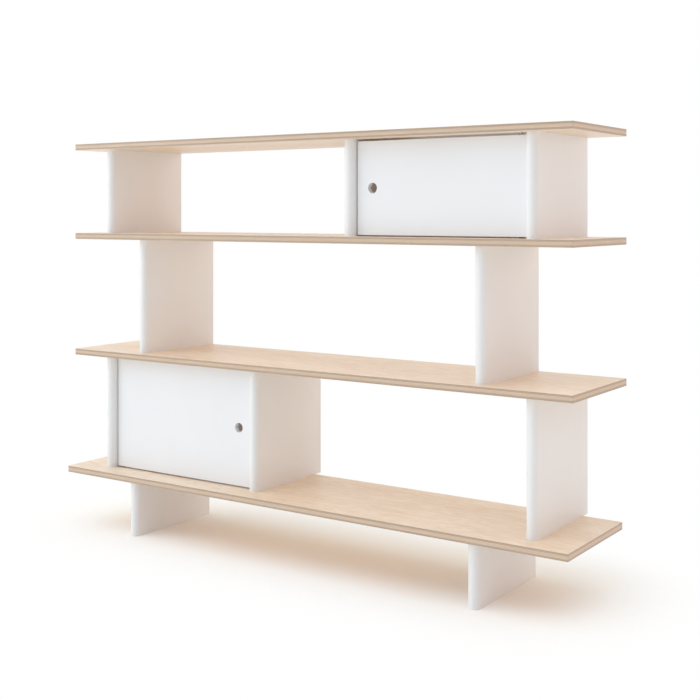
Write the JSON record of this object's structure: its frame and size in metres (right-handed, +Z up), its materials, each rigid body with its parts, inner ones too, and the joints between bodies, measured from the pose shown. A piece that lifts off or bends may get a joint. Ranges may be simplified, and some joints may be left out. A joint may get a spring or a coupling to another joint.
{
  "type": "bookcase",
  "caption": "Low wide bookcase: birch plywood boards on offset white uprights with half-round noses, open bays, and two bays closed by pivoting doors with finger holes.",
  "frame": {"origin": "on the floor, at the middle of the overall box's base", "axes": "+X along the boards to the right seen from the front, +Y to the back, +Z up; the doors face -Y"},
  "size_m": [1.5, 0.33, 1.064],
  "materials": {
    "birch_plywood": "clear satin lacquer on birch veneer, plies showing on the edges",
    "white_lacquer": "white satin lacquer",
    "white_panel": "white lacquered panel",
    "white_plastic": "moulded, fine matt",
    "nylon": "black nylon, fine matt",
    "beech": "bare fluted dowel",
    "zinc_steel": "bright zinc plate",
    "cast_zinc": "bare die casting",
    "magnet": "ground ferrite"
  },
  "bodies": {
    "carcass": {"top_board": "birch_plywood", "upper_board": "birch_plywood", "lower_board": "birch_plywood", "bottom_board": "birch_plywood", "top_left_upright": "white_lacquer", "top_divider": "white_lacquer", "top_right_upright": "white_lacquer", "middle_left_upright": "white_lacquer", "middle_right_upright": "white_lacquer", "lower_left_upright": "white_lacquer", "lower_divider": "white_lacquer", "lower_right_upright": "white_lacquer", "left_foot": "white_lacquer", "right_foot": "white_lacquer", "top_row_dowels": "beech", "top_row_cam_bolts": "zinc_steel", "top_row_cams": "cast_zinc", "top_row_cam_caps": "white_plastic", "middle_row_dowels": "beech", "middle_row_cam_bolts": "zinc_steel", "middle_row_cams": "cast_zinc", "middle_row_cam_caps": "white_plastic", "lower_row_dowels": "beech", "lower_row_cam_bolts": "zinc_steel", "lower_row_cams": "cast_zinc", "lower_row_cam_caps": "white_plastic", "foot_dowels": "beech", "foot_cam_bolts": "zinc_steel", "foot_cams": "cast_zinc", "foot_cam_caps": "white_plastic", "top_door_pivot_pins": "zinc_steel", "top_door_catch": "white_plastic", "top_door_catch_magnet": "magnet", "top_door_catch_screws": "zinc_steel", "lower_door_pivot_pins": "zinc_steel", "lower_door_catch": "white_plastic", "lower_door_catch_magnet": "magnet", "lower_door_catch_screws": "zinc_steel", "top_back_panel": "white_panel", "lower_back_panel": "white_panel"},
    "top_door": {"top_door": "white_lacquer", "top_door_bushes": "nylon", "top_door_strike_plate": "zinc_steel", "top_door_strike_screws": "zinc_steel"},
    "lower_door": {"lower_door": "white_lacquer", "lower_door_bushes": "nylon", "lower_door_strike_plate": "zinc_steel", "lower_door_strike_screws": "zinc_steel"}
  },
  "joints": [
    {"name": "top_door_pivot", "type": "hinge", "parent": "carcass", "child": "top_door", "pos_m": [0.607, -0.0885, 0.9303], "axis": [0, 0, 1], "range_deg": [0, 120]},
    {"name": "lower_door_pivot", "type": "hinge", "parent": "carcass", "child": "lower_door", "pos_m": [-0.607, -0.0885, 0.3183], "axis": [0, 0, -1], "range_deg": [0, 120]}
  ]
}
